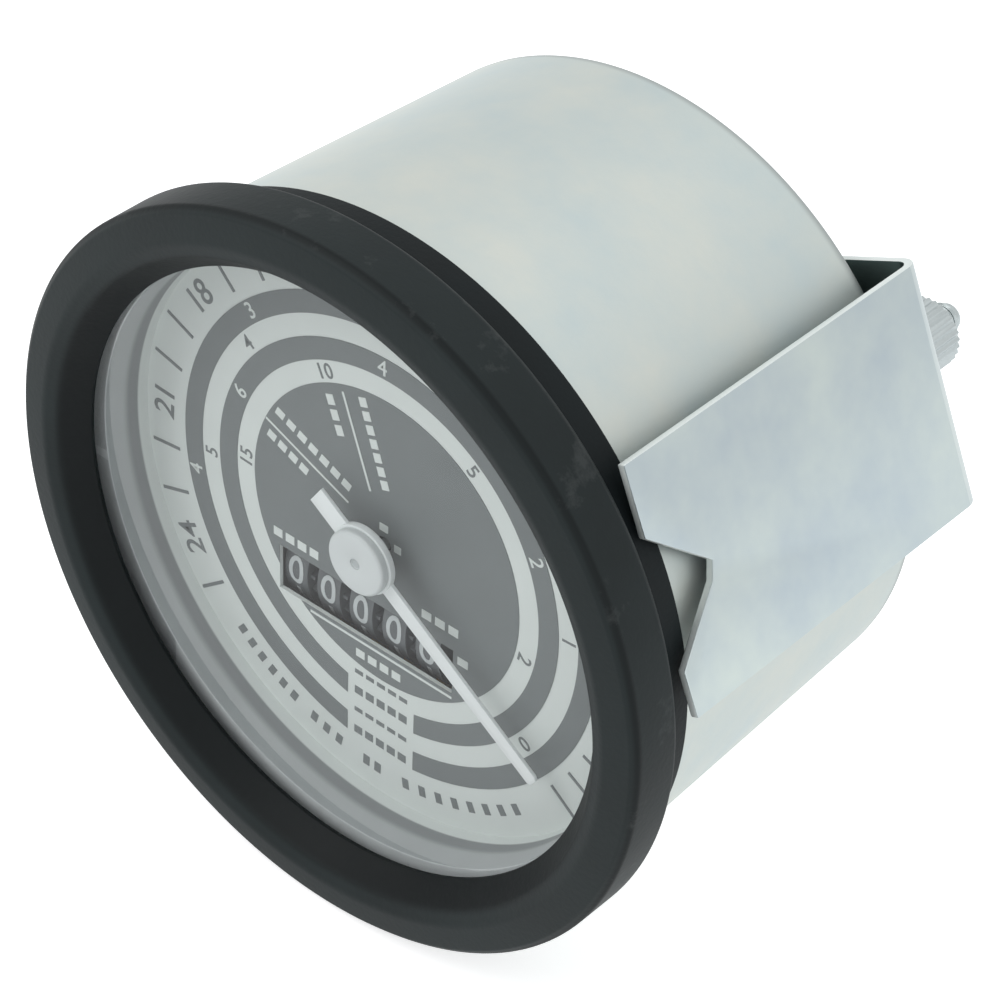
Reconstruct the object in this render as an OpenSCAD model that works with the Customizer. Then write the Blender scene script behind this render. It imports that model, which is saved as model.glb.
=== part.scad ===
// Panel tachometer with hour counter: magnet and drag-cup pointer drive, worm-driven drum counter.
// Units are millimetres. Inside place() the dial faces +Z, 12 o'clock is +Y and z = 0 is the rear
// face of the bezel, which seats on the panel. place() turns that to: front -Y, 12 o'clock +Z.

/* [Bezel] */
// Outer radius of the bezel ring
bezel_r = 53.4; // [49:0.1:58]
// Width of the bezel's face, from its outer edge to the glass opening
bezel_w = 9.6; // [8.6:0.1:10.6]
// Height of the bezel's crest above the panel
crest_h = 9.4; // [9:0.1:11]
// Thickness of the spun bezel sheet
bezel_sheet = 0.9; // [0.8:0.05:1]
// Thickness of the flat glass
glass_t = 1.9; // [1.6:0.1:1.9]

/* [Case] */
// How far the bezel stands out past the can's mouth
bezel_overhang = 4; // [3.6:0.1:4.4]
// How much smaller the can's radius is at its rear rim
case_taper = 2.25; // [1.5:0.05:2.5]
// Distance from the panel to the outside of the can's rear
case_depth = 56.4; // [51:0.2:62]
// Wall thickness of the can
case_wall = 0.9; // [0.7:0.05:1]
// Length of the rubber band behind the bezel
band_len = 5.3; // [3:0.1:7]

/* [Dial] */
// Depth of the dial face behind the panel plane
dial_depth = 5; // [4.6:0.1:5.4]
// Thickness of the dial plate
dial_t = 0.6; // [0.5:0.05:0.7]
// Half width of the gap at the foot of the dark speed bands
band_gap = 6; // [4:0.5:8]
// Width of a scale mark
tick_w = 0.5; // [0.4:0.05:0.8]

/* [Pointer] */
// Length of the pointer from the spindle to its tip
pointer_len = 36; // [34:0.5:38]
// Width of the pointer's blade
pointer_w = 2.3; // [1.8:0.1:2.6]
// Length of the pointer's tail
tail_len = 10.3; // [8:0.1:12]
// Angle at which the pointer rests, counted from 3 o'clock
rest_angle = -34; // [-38:1:-30]

/* [Mounting] */
// Angle of the bracket's legs above 3 o'clock
bracket_angle = 24.2; // [15:0.1:32]
// Sheet thickness of the bracket
bracket_t = 1.2; // [1:0.1:1.4]
// Width of the bracket
bracket_w = 33.9; // [30:0.2:38]
// Thickness of the panel that the bracket's feet are set for
panel_t = 2.1; // [1.6:0.1:4]
// Depth of the V notch in each leg
notch_depth = 11.6; // [8:0.2:14]
// Radius of the mounting studs' thread
stud_r = 2.4; // [2.2:0.1:2.6]
// Distance of a mounting stud inside the can's rear rim
stud_inset = 9.6; // [8.6:0.1:10.6]
// Radius of the thumb nuts
nut_r = 5.2; // [4.6:0.1:6]
// Height of the thumb nuts
nut_h = 12; // [9:0.5:13]

/* [Hidden] */
$fn = 64;

eps = 0.5;
fit = 0.04;

steel = [0.78, 0.80, 0.80];
zinc = [0.80, 0.83, 0.82];
black = [0.16, 0.18, 0.19];
rubber = [0.12, 0.12, 0.12];
brass = [0.80, 0.68, 0.36];
pale = [0.86, 0.88, 0.86];
dark_ink = [0.42, 0.45, 0.46];
plastic = [0.30, 0.31, 0.32];
wall_grey = [0.50, 0.51, 0.52];

// Radii, each from the piece that it fits
opening_r = bezel_r - bezel_w;
case_front_r = bezel_r - bezel_overhang;
case_rear_r = case_front_r - case_taper;
band_pocket = 0.9;
bezel_inner_edge_r = case_front_r + band_pocket;
stud_at = case_rear_r - stud_inset;

// Stack at the mouth, from the panel plane forward
flange_t = 0.8;
flange_r = bezel_r - bezel_sheet - 0.3;
flange_rear_z = bezel_sheet;
flange_front_z = flange_rear_z + flange_t;
surround_t = 0.6;
glass_rear_z = flange_front_z + surround_t;
glass_front_z = glass_rear_z + glass_t;
gasket_t = 0.4;
lip_rear_z = glass_front_z + gasket_t;
lip_t = 0.4;
lip_w = 1.4;
gasket_wall = 0.5;
gasket_r = bezel_r - bezel_sheet - 0.1;

// Dial
dial_z = -dial_depth;
dial_rear_z = dial_z - dial_t;
wall_r = opening_r - 0.3;
dial_r = wall_r + 1.9;
ink_t = 0.08;
tick_out_r = wall_r - 0.7;
tick_in_r = tick_out_r - 5.1;
band_outer_r = tick_in_r - 1.5;
centre_r = 23.2;
band_w = (band_outer_r - centre_r) / 4;
spindle_hole_r = 1.4;
scale_step = 10.45;
scale_first = -11.5;
low_marks = [-37.5, -30.3, -22.9];
scale_max = 25;

// Counter, hung behind the dial
drum_r = 8.7;
drum_gap = 0.5;
drum_pitch = 5.93;
drum_count = 5;
drum_first_x = 7;
drum_last_x = drum_first_x - (drum_count - 1) * drum_pitch;
rim_w = 4.1;
gear_w = 0.8;
lug_w = 0.6;
drum_y = -14.9;
drum_z = dial_rear_z - drum_gap - drum_r;
drum_bore_r = 1.55;
drum_shaft_r = 1.5;
window_x = [drum_last_x - 1.98, drum_first_x + 5.5];
window_y = [drum_y - 3.1, drum_y + 4.4];
gear_mod = 0.74;
drum_teeth = 20;
pinion_teeth = 8;
pinion_at = gear_mod * (drum_teeth + pinion_teeth) / 2;
pinion_y = drum_y - pinion_at;
pinion_shaft_r = 0.8;
side_t = 0.8;
side_left_x = drum_last_x - 4.28;
side_right_x = drum_first_x + 3.1;
counter_low_y = pinion_y - 2.5;

// Drag cup and bridge, hung behind the counter
bridge_t = 1.2;
bridge_front_z = drum_z - drum_r - 0.6;
bridge_rear_z = bridge_front_z - bridge_t;
cup_gap = 0.9;
cup_t = 0.5;
cup_boss_h = 1.1;
magnet_len = 4.4;
magnet_front_z = bridge_rear_z - cup_gap - cup_t - cup_boss_h - 0.4;
magnet_rear_z = magnet_front_z - magnet_len;
magnet_r = 15;
cup_r = 19;
cup_len = magnet_len + 0.9;
ring_in_r = 20.5;
ring_out_r = 22;

// Gear plate and worm drive, from the can's rear forward
rear_in_z = case_wall - case_depth;
plate_rear_z = rear_in_z + 1.6;
plate_t = 2.5;
plate_front_z = plate_rear_z + plate_t;
plate_r = case_rear_r - case_wall - 1.95;
drive_z = plate_front_z + 6.7;
pillar_r = 2.5;
pillar_spigot_r = 1.8;
bridge_hole_r = 2.6;
screw_r = 1.1;
post_thread_r = 1.5;
post_thread_len = 5;
pillars = [[-30, 12], [31, 2], [-26, -24], [29, -13]];

// Pointer drive
spindle_r = 0.8;
pivot_r = 0.45;
blade_z = dial_z + 3.8;
blade_t = 0.5;
boss_r = 1.7;
stop_at = 7;
stop_pin_r = 0.5;
stop_arm_w = 1.4;
sweep = 252.3;
stop_gap = asin((stop_pin_r + stop_arm_w / 2 + 0.2) / stop_at);
spring_in_r = 2.5;
spring_out_r = 5.6;
spring_turns = 4;
spring_t = 0.16;
spring_z = bridge_front_z + 0.7;

// Input shaft, stem and worm drives
journal_r = 3;
neck_r = 2.1;
stem_r = 7.94;
stem_len = 15.6;
stem_end_z = -(case_depth + stem_len);
stem_flange_r = 11;
bush_r = 6;
stem_nut_h = 3.4;
shaft_end_z = stem_end_z + 1.2;
key_w = 3.4;
key_depth = 12;
worm1 = [2.9, 0.56, 6];
worm2 = [2.1, 0.6044, 5];
worm3 = [1.8, 0.3, 4];
wheel1_teeth = 20;
wheel2_teeth = 45;
wheel3_teeth = 50;
lay_r = 1.2;

wheel3_x = side_right_x + 3.5;
hub_r = 2.5;
post_left_x = -9;
post_right_x = wheel3_x + 5;
post_t = 2.4;
cross_overhang = 0.6;
cross_y = -(worm1[0] + worm1[1] * wheel1_teeth / 2);
layshaft_y = cross_y - worm2[0] - worm2[1] * wheel2_teeth / 2;

// Bracket and lamp
leg_in = bezel_inner_edge_r;
leg_out = leg_in + bracket_t;
web_front_z = -(case_depth + 3.3);
web_rear_z = web_front_z - bracket_t;
bend_r = 3;
notch_top = 9;
notch_foot = -12.5;
washer_t = 1.4;
stud_stand_out = 5;
stud_end_z = web_rear_z - washer_t - nut_h - stud_stand_out;
stem_hole_r = 12;
lamp_r = 7.5;
lamp_inset = 15.15;
lamp_angle = 115;
lamp_at = polar(case_rear_r - lamp_inset, lamp_angle);
socket_h = 9;
socket_in_r = 5.2;
contact_r = 2.75;
bulb_foot = 2;
bulb_glass_h = 8;
bulb_r = 4.4;

module place() {
    rotate([90, 0, 0])
        children();
}

// A straight-flanked gear outline, first tooth at the given angle
function polar(r, a) = [r * cos(a), r * sin(a)];
function gear_points(teeth, module_mm, first) =
    let (pitch = 360 / teeth, r = module_mm * teeth / 2)
    [for (i = [0:teeth - 1])
        let (a = first + i * pitch)
        each [
            polar(r - 1.15 * module_mm, a - 0.26 * pitch),
            polar(r + 0.85 * module_mm, a - 0.11 * pitch),
            polar(r + 0.85 * module_mm, a + 0.11 * pitch),
            polar(r - 1.15 * module_mm, a + 0.26 * pitch)]];

module gear(teeth, module_mm, first, bore_r) {
    difference() {
        polygon(gear_points(teeth, module_mm, first));
        circle(r = bore_r);
    }
}

// One-start right-hand worm along Z, centred, its thread at angle mid in the middle of its length
module worm(w, mid) {
    lead = PI * w[1];
    tip = w[0] + 0.85 * w[1];
    root = w[0] - 1.15 * w[1];
    section = concat(
        [for (a = [-38, -13, 13, 38]) polar(tip, a)],
        [for (a = [88:23:272]) polar(root, a)]);
    turns = w[2] / lead;
    translate([0, 0, -w[2] / 2])
        rotate([0, 0, mid - 180 * turns])
            linear_extrude(height = w[2], twist = -360 * turns, slices = ceil(14 * turns), $fn = 12)
                polygon(section);
}

module along_x(from, to, r) {
    translate([from, 0, 0])
        rotate([0, 90, 0])
            cylinder(h = to - from, r = r);
}

module at_drums() {
    translate([0, drum_y, drum_z])
        children();
}

module at_studs() {
    for (side = [-1, 1])
        rotate([0, 0, bracket_angle])
            translate([side * stud_at, 0, 0])
                children();
}

module case() {
    rim = 1;
    color(zinc)
        difference() {
            rotate_extrude()
                polygon([
                    [0, -case_depth],
                    [case_rear_r - rim, -case_depth],
                    [case_rear_r - 0.3, rim * 0.3 - case_depth],
                    [case_rear_r, rim - case_depth],
                    [case_front_r, flange_rear_z],
                    [flange_r, flange_rear_z],
                    [flange_r, flange_front_z],
                    [case_front_r - case_wall, flange_front_z],
                    [case_rear_r - case_wall, rear_in_z + rim * 0.5],
                    [case_rear_r - case_wall - rim * 0.5, rear_in_z],
                    [0, rear_in_z]]);
            translate([0, 0, -case_depth - eps])
                cylinder(h = case_wall + 2 * eps, r = stem_r + 0.15);
            translate([lamp_at[0], lamp_at[1], -case_depth - eps])
                cylinder(h = case_wall + 2 * eps, r = lamp_r + 0.1);
            at_studs()
                translate([0, 0, -case_depth - eps])
                    cylinder(h = case_wall + 2 * eps, r = stud_r + 0.2);
        }
}

module bezel_ring() {
    face_z = crest_h - 0.6;
    color(black)
        rotate_extrude()
            polygon([
                [opening_r, lip_rear_z],
                [opening_r, lip_rear_z + lip_t],
                [opening_r + 2.8, crest_h - 0.8],
                [opening_r + 3.7, crest_h - 0.15],
                [opening_r + 4.7, crest_h],
                [opening_r + 5.7, crest_h - 0.1],
                [bezel_r - 1.1, face_z + 0.05],
                [bezel_r - 0.4, face_z - 0.25],
                [bezel_r, face_z - 0.8],
                [bezel_r, 1.2],
                [bezel_r - 0.35, 0.35],
                [bezel_r - 1.2, 0],
                [bezel_inner_edge_r, 0],
                [bezel_inner_edge_r, bezel_sheet],
                [bezel_r - bezel_sheet, bezel_sheet],
                [bezel_r - bezel_sheet, face_z - 1],
                [bezel_r - bezel_sheet - 0.6, face_z - 0.9],
                [opening_r + 4.8, crest_h - bezel_sheet],
                [opening_r + 3.5, crest_h - bezel_sheet - 0.6],
                [opening_r + lip_w, lip_rear_z]]);
}

module mounting_gasket() {
    slope = (case_front_r - case_rear_r) / (flange_rear_z + case_depth);
    color(rubber)
        rotate_extrude()
            polygon([
                [case_front_r + fit, flange_rear_z],
                [bezel_inner_edge_r - 0.2, flange_rear_z],
                [bezel_inner_edge_r - 0.2, -band_len],
                [case_front_r + fit - slope * (flange_rear_z + band_len), -band_len]]);
}

module glass_gasket() {
    color(rubber)
        rotate_extrude()
            polygon([
                [opening_r + 0.4, glass_front_z],
                [gasket_r - gasket_wall, glass_front_z],
                [gasket_r - gasket_wall, glass_rear_z],
                [gasket_r, glass_rear_z],
                [gasket_r, lip_rear_z],
                [opening_r + 0.4, lip_rear_z]]);
}

module glass_lens() {
    color([0.8, 0.9, 0.9, 0.25])
        translate([0, 0, glass_rear_z])
            cylinder(h = glass_t, r = gasket_r - gasket_wall - 0.1);
}

module dial_surround() {
    color(wall_grey)
        rotate_extrude()
            polygon([
                [wall_r, dial_z],
                [wall_r + 0.7, dial_z],
                [wall_r + 1.1, flange_front_z],
                [flange_r, flange_front_z],
                [flange_r, glass_rear_z],
                [wall_r + 0.4, glass_rear_z]]);
}

module window_opening(height) {
    translate([window_x[0], window_y[0], -eps])
        cube([window_x[1] - window_x[0], window_y[1] - window_y[0], height + 2 * eps]);
}

module dial_plate() {
    color(pale)
        translate([0, 0, dial_rear_z])
            difference() {
                cylinder(h = dial_t, r = dial_r);
                window_opening(dial_t);
                translate([0, 0, -eps])
                    cylinder(h = dial_t + 2 * eps, r = spindle_hole_r);
            }
}

// Printed fields: two dark speed bands, the dark centre and the scale marks
module dark_band(outer) {
    difference() {
        cylinder(h = ink_t, r = outer);
        translate([0, 0, -eps])
            cylinder(h = ink_t + 2 * eps, r = outer - band_w);
        translate([-band_gap, -outer - eps, -eps])
            cube([2 * band_gap, outer, ink_t + 2 * eps]);
    }
}

module scale_mark(angle) {
    rotate([0, 0, angle])
        translate([tick_in_r, -tick_w / 2, 0])
            cube([tick_out_r - tick_in_r, tick_w, ink_t]);
}

module dial_print() {
    color(dark_ink)
        translate([0, 0, dial_z])
            difference() {
                union() {
                    dark_band(band_outer_r);
                    dark_band(band_outer_r - 2 * band_w);
                    cylinder(h = ink_t, r = centre_r);
                    for (angle = low_marks)
                        scale_mark(angle);
                    for (value = [4:scale_max])
                        if (value % 3 != 0)
                            scale_mark(scale_first + scale_step * (value - 3));
                }
                window_opening(ink_t);
                translate([0, 0, -eps])
                    cylinder(h = ink_t + 2 * eps, r = spindle_hole_r);
            }
}

module pointer() {
    tail_w = pointer_w + 1;
    disc_r = 5.1;
    color(pale)
        rotate([0, 0, rest_angle])
            difference() {
                union() {
                    translate([0, 0, blade_z - blade_t])
                        linear_extrude(blade_t)
                            polygon([
                                [-tail_len, -tail_w / 2],
                                [0, -tail_w / 2],
                                [5, -pointer_w / 2 - 0.1],
                                [pointer_len - 0.6, 0.1 - pointer_w / 2],
                                [pointer_len, 0.4 - pointer_w / 2],
                                [pointer_len, pointer_w / 2 - 0.4],
                                [pointer_len - 0.6, pointer_w / 2 - 0.1],
                                [5, pointer_w / 2 + 0.1],
                                [0, tail_w / 2],
                                [-tail_len, tail_w / 2]]);
                    translate([0, 0, blade_z - blade_t])
                        cylinder(h = blade_t + 0.4, r = disc_r);
                    translate([0, 0, blade_z - 2.8])
                        cylinder(h = 2.8, r = boss_r);
                }
                translate([0, 0, blade_z - 3])
                    cylinder(h = 4, r = spindle_r + 0.02);
            }
}

module pointer_cap() {
    cap_r = 4.8;
    cap_h = 1.3;
    color(pale)
        translate([0, 0, blade_z + 0.4])
            difference() {
                rotate_extrude()
                    polygon([[0, 0], [cap_r, 0], [cap_r, cap_h - 0.3], [cap_r - 0.3, cap_h], [0, cap_h]]);
                translate([0, 0, cap_h - 0.3])
                    cylinder(h = 1, r = 0.8);
            }
}

module pointer_spindle() {
    color(steel) {
        translate([0, 0, magnet_front_z + 0.3])
            cylinder(h = blade_z - magnet_front_z, r = spindle_r - 0.01);
        translate([0, 0, magnet_front_z - 2])
            cylinder(h = 2.4, r = pivot_r);
    }
}

module drag_cup() {
    front = magnet_front_z + cup_gap + cup_t;
    color(pale)
        translate([0, 0, front])
            difference() {
                union() {
                    translate([0, 0, -cup_len])
                        cylinder(h = cup_len, r = cup_r);
                    cylinder(h = cup_boss_h, r = 2.4);
                }
                translate([0, 0, -cup_len - eps])
                    cylinder(h = cup_len + eps - cup_t, r = cup_r - 0.6);
                translate([0, 0, -cup_len])
                    cylinder(h = cup_len + 2, r = spindle_r);
            }
}

module stop_collar() {
    color(brass)
        translate([0, 0, bridge_front_z + 2])
            difference() {
                union() {
                    cylinder(h = 1, r = 1.8);
                    rotate([0, 0, rest_angle])
                        translate([0, -stop_arm_w / 2, 0])
                            cube([stop_at + 0.6, stop_arm_w, 1]);
                }
                translate([0, 0, -eps])
                    cylinder(h = 2, r = spindle_r);
            }
}

module hairspring_collet() {
    color(brass)
        translate([0, 0, bridge_front_z + 0.4])
            difference() {
                cylinder(h = 1.2, r = 2);
                translate([0, 0, -eps])
                    cylinder(h = 1.2 + 2 * eps, r = spindle_r);
            }
}

// Flat spiral of strip; its outer end is held by the stud beside it
module hairspring() {
    steps = spring_turns * 20;
    function coil(i, side) = polar(
        spring_in_r + (spring_out_r - spring_in_r) * i / steps + side * spring_t / 2, 18 * i);
    color([0.55, 0.60, 0.68])
        translate([0, 0, spring_z])
            linear_extrude(0.5)
                polygon(concat(
                    [for (i = [0:steps]) coil(i, 1)],
                    [for (i = [steps:-1:0]) coil(i, -1)]));
}

module bearing_post(x) {
    post_w = 5;
    post_top = 2.6;
    translate([x, cross_y - post_w / 2, plate_front_z - eps])
        cube([post_t, post_w, drive_z - plate_front_z + eps + post_top]);
}

module movement_plate() {
    color(zinc)
        difference() {
            union() {
                translate([0, 0, plate_rear_z])
                    cylinder(h = plate_t, r = plate_r);
                bearing_post(post_left_x);
                bearing_post(post_right_x);
            }
            translate([0, 0, plate_rear_z - eps])
                cylinder(h = plate_t + 2 * eps, r = bush_r + fit);
            translate([lamp_at[0], lamp_at[1], plate_rear_z - eps])
                cylinder(h = plate_t + 2 * eps, r = lamp_r + 1.5);
            translate([wheel3_x, layshaft_y, plate_rear_z - eps])
                cylinder(h = plate_t + 2 * eps, r = lay_r + fit);
            translate([0, cross_y, drive_z])
                along_x(post_left_x - eps, post_right_x + post_t + eps, lay_r + fit);
            at_studs()
                translate([0, 0, plate_rear_z - eps])
                    cylinder(h = plate_t + 2 * eps, r = stud_r + fit);
            for (p = pillars)
                translate([p[0], p[1], plate_rear_z - eps])
                    cylinder(h = plate_t + 2 * eps, r = pillar_spigot_r + fit);
        }
}

module frame_pillars() {
    color(steel)
        for (p = pillars)
            translate([p[0], p[1], 0])
                difference() {
                    union() {
                        translate([0, 0, plate_front_z])
                            cylinder(h = bridge_rear_z - plate_front_z, r = pillar_r);
                        translate([0, 0, plate_rear_z])
                            cylinder(h = plate_t + eps, r = pillar_spigot_r);
                    }
                    translate([0, 0, bridge_rear_z - post_thread_len])
                        cylinder(h = post_thread_len + eps, r = post_thread_r + fit);
                }
}

module spindle_bridge() {
    lug_r = 4.5;
    pad_x = [side_left_x - 4, wheel3_x + 4.4];
    pad_y = [counter_low_y - 0.5, -1];
    color(zinc)
        translate([0, 0, bridge_rear_z])
            difference() {
                union() {
                    cylinder(h = bridge_t, r = ring_out_r + 1);
                    translate([pad_x[0], pad_y[0], 0])
                        cube([pad_x[1] - pad_x[0], pad_y[1] - pad_y[0], bridge_t]);
                    for (p = pillars) {
                        translate([p[0], p[1], 0])
                            cylinder(h = bridge_t, r = lug_r);
                        rotate([0, 0, atan2(p[1], p[0])])
                            translate([0, 0.6 - lug_r, 0])
                                cube([norm(p), 2 * lug_r - 1.2, bridge_t]);
                    }
                }
                translate([0, 0, -eps])
                    cylinder(h = bridge_t + 2 * eps, r = bridge_hole_r);
                translate([wheel3_x, layshaft_y, -eps])
                    cylinder(h = bridge_t + 2 * eps, r = lay_r + 0.6);
                for (p = pillars)
                    translate([p[0], p[1], -eps])
                        cylinder(h = bridge_t + 2 * eps, r = post_thread_r + 0.1);
                for (x = counter_screw_x)
                    translate([x, counter_screw_y, -eps])
                        cylinder(h = bridge_t + 2 * eps, r = screw_r + fit);
            }
}

module bridge_bush() {
    color(brass)
        translate([0, 0, bridge_rear_z])
            difference() {
                cylinder(h = bridge_t + 0.2, r = bridge_hole_r - 0.02);
                translate([0, 0, -eps])
                    cylinder(h = bridge_t + 2, r = spindle_r + fit);
            }
}

// Two stop pins for the pointer and the stud that holds the spring's outer end
module bridge_pins() {
    color(steel)
        translate([0, 0, bridge_front_z]) {
            for (a = [rest_angle - stop_gap, rest_angle + sweep + stop_gap])
                rotate([0, 0, a])
                    translate([stop_at, 0, 0])
                        cylinder(h = 3.2, r = stop_pin_r);
            translate([spring_out_r + 0.5, 0, 0])
                cylinder(h = 1.4, r = 0.5);
        }
}

module field_ring() {
    ring_len = bridge_rear_z - magnet_rear_z + 1;
    color(steel)
        translate([0, 0, bridge_rear_z - ring_len])
            difference() {
                cylinder(h = ring_len, r = ring_out_r);
                translate([0, 0, -eps])
                    cylinder(h = ring_len + 2 * eps, r = ring_in_r);
            }
}

module dial_posts() {
    color(steel)
        for (p = pillars)
            translate([p[0], p[1], 0]) {
                translate([0, 0, bridge_front_z])
                    cylinder(h = dial_rear_z - bridge_front_z, r = pillar_r);
                translate([0, 0, bridge_rear_z - post_thread_len + 0.4])
                    cylinder(h = post_thread_len + bridge_t, r = post_thread_r);
            }
}

module input_shaft() {
    color(steel)
        difference() {
            union() {
                translate([0, 0, shaft_end_z])
                    cylinder(h = plate_front_z - shaft_end_z, r = journal_r);
                translate([0, 0, plate_front_z - eps])
                    cylinder(h = magnet_front_z - plate_front_z + eps, r = neck_r);
                translate([0, 0, magnet_rear_z - 1])
                    cylinder(h = 1, r = 5);
                translate([0, 0, drive_z])
                    worm(worm1, 90);
            }
            translate([0, 0, magnet_front_z - 2.4])
                cylinder(h = 3, r = pivot_r + fit);
            translate([-key_w / 2, -key_w / 2, shaft_end_z - eps])
                cube([key_w, key_w, key_depth + eps]);
        }
}

module magnet() {
    slot_w = 3;
    color([0.35, 0.36, 0.38])
        translate([0, 0, magnet_rear_z])
            difference() {
                cylinder(h = magnet_len, r = magnet_r);
                translate([0, 0, -eps])
                    cylinder(h = magnet_len + 2 * eps, r = neck_r + 0.02);
                for (a = [0:90:270])
                    rotate([0, 0, a])
                        translate([magnet_r - 4, -slot_w / 2, -eps])
                            cube([5, slot_w, magnet_len + 2 * eps]);
            }
}

module drive_stem() {
    chamfer = 0.8;
    relief_z = -case_depth - stem_nut_h - 0.2;
    color(zinc)
        difference() {
            rotate_extrude()
                polygon([
                    [0, stem_end_z],
                    [stem_r - chamfer, stem_end_z],
                    [stem_r, stem_end_z + chamfer],
                    [stem_r, relief_z - 1],
                    [stem_r - 0.6, relief_z - 1],
                    [stem_r - 0.6, relief_z],
                    [stem_r, relief_z],
                    [stem_r, rear_in_z],
                    [stem_flange_r, rear_in_z],
                    [stem_flange_r, plate_rear_z],
                    [bush_r, plate_rear_z],
                    [bush_r, plate_front_z - 0.3],
                    [0, plate_front_z - 0.3]]);
            translate([0, 0, stem_end_z - eps])
                cylinder(h = plate_front_z - stem_end_z + 2 * eps, r = journal_r + fit);
        }
}

module stem_nut() {
    color(zinc)
        translate([0, 0, -case_depth - stem_nut_h])
            difference() {
                cylinder(h = stem_nut_h, r = stem_flange_r, $fn = 6);
                translate([0, 0, -eps])
                    cylinder(h = stem_nut_h + 2 * eps, r = stem_r + fit);
            }
}

module cross_shaft() {
    color(steel)
        translate([0, cross_y, drive_z]) {
            along_x(post_left_x - cross_overhang, post_right_x + post_t + cross_overhang, lay_r);
            translate([wheel3_x, 0, 0])
                rotate([0, 90, 0])
                    worm(worm2, 90);
        }
}

module cross_wheel() {
    wheel_w = 2.4;
    color(brass)
        translate([-wheel_w / 2, cross_y, drive_z])
            rotate([0, 90, 0])
                linear_extrude(wheel_w)
                    gear(wheel1_teeth, worm1[1], 90, lay_r + 0.01);
}

module counter_drive_shaft() {
    color(steel)
        translate([wheel3_x, layshaft_y, 0]) {
            translate([0, 0, plate_rear_z + 0.2])
                cylinder(h = ear_z + ear_t - plate_rear_z, r = lay_r);
            translate([0, 0, drum_z])
                worm(worm3, 270);
        }
}

module counter_drive_wheel() {
    wheel_w = 2;
    color(brass)
        translate([wheel3_x, layshaft_y, drive_z - wheel_w / 2])
            linear_extrude(wheel_w)
                gear(wheel2_teeth, worm2[1], 90, lay_r + 0.01);
}

counter_screw_x = [side_left_x + 6, side_right_x - 5.1];
counter_screw_y = counter_low_y + 4.76;
foot_t = 0.9;
foot_w = 9;
ear_t = 1;
ear_z = drum_z + 3.4;

// Folded frame: a foot on the bridge, two sides and an ear that steadies the upright worm
module counter_frame() {
    top_y = drum_y + 5;
    ear_end_x = wheel3_x + 2.6;
    ear_end_y = layshaft_y + 2.15;
    color(zinc)
        difference() {
            union() {
                translate([side_left_x, counter_low_y, bridge_front_z])
                    cube([side_right_x + side_t - side_left_x, foot_w, foot_t]);
                for (x = [side_left_x, side_right_x])
                    translate([x, counter_low_y, bridge_front_z])
                        cube([side_t, top_y - counter_low_y, ear_z + ear_t - bridge_front_z]);
                translate([side_right_x, counter_low_y, ear_z])
                    cube([ear_end_x - side_right_x, ear_end_y - counter_low_y, ear_t]);
            }
            at_drums()
                along_x(side_left_x - eps, side_left_x + side_t + eps, drum_shaft_r + 0.02);
            at_drums()
                along_x(side_right_x - eps, side_right_x + side_t + eps, hub_r + fit);
            translate([0, pinion_y, drum_z])
                along_x(side_left_x - eps, side_right_x + side_t + eps, pinion_shaft_r + 0.02);
            translate([wheel3_x, layshaft_y, ear_z - eps])
                cylinder(h = ear_t + 2 * eps, r = lay_r + fit);
            for (x = counter_screw_x)
                translate([x, counter_screw_y, bridge_front_z - eps])
                    cylinder(h = foot_t + 2 * eps, r = screw_r + fit);
        }
}

module counter_screws() {
    head_r = 1.9;
    head_h = 1;
    slot_w = 0.5;
    color(steel)
        for (x = counter_screw_x)
            translate([x, counter_screw_y, 0]) {
                translate([0, 0, bridge_rear_z])
                    cylinder(h = bridge_t + foot_t + 0.1, r = screw_r);
                translate([0, 0, bridge_front_z + foot_t])
                    difference() {
                        cylinder(h = head_h, r = head_r);
                        translate([-head_r - eps, -slot_w / 2, head_h - 0.4])
                            cube([2 * (head_r + eps), slot_w, 1]);
                    }
            }
}

module drum_shaft() {
    color(steel)
        at_drums()
            along_x(side_left_x - 0.4, wheel3_x + 1.6, drum_shaft_r);
}

module pinion_shaft() {
    color(steel)
        translate([0, pinion_y, drum_z])
            along_x(side_left_x - 0.2, side_right_x + side_t + 0.2, pinion_shaft_r);
}

module drum_wheel() {
    wheel_w = 1.6;
    color(brass)
        translate([wheel3_x - wheel_w / 2, drum_y, drum_z])
            rotate([0, 90, 0])
                linear_extrude(wheel_w)
                    gear(wheel3_teeth, worm3[1], -90, hub_r + 0.01);
}

// Drum with its number rim, a transfer gear on the right and a locking disc on the left
module drum(k) {
    x = drum_first_x - k * drum_pitch;
    half = rim_w / 2;
    lug_r = 6.2;
    color(k == 0 ? [0.75, 0.72, 0.66] : plastic)
        at_drums()
            difference() {
                union() {
                    along_x(x - half, x + half, drum_r);
                    along_x(x - half - lug_w, x - half + eps, lug_r);
                    if (k > 0)
                        translate([x + half - eps, 0, 0])
                            rotate([0, 90, 0])
                                linear_extrude(gear_w + eps)
                                    polygon(gear_points(drum_teeth, gear_mod, -90));
                    if (k == 0)
                        along_x(x, wheel3_x + 0.8, hub_r);
                }
                along_x(x - half - lug_w - eps, wheel3_x + 2, drum_bore_r);
            }
}

module transfer_pinion(k) {
    x = drum_first_x - k * drum_pitch;
    side_gap = 0.15;
    width = drum_pitch - rim_w - 2 * side_gap;
    color(brass)
        translate([x + rim_w / 2 + side_gap, pinion_y, drum_z])
            rotate([0, 90, 0])
                linear_extrude(width)
                    gear(pinion_teeth, gear_mod, 90 + 180 / pinion_teeth, pinion_shaft_r + fit);
}

module strap_outline(half, depth, r) {
    translate([-half, r - depth])
        square([2 * half, depth - r + eps]);
    translate([r - half, -depth])
        square([2 * (half - r), 2 * r]);
    for (side = [-1, 1])
        translate([side * (half - r), r - depth])
            circle(r = r);
}

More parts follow.
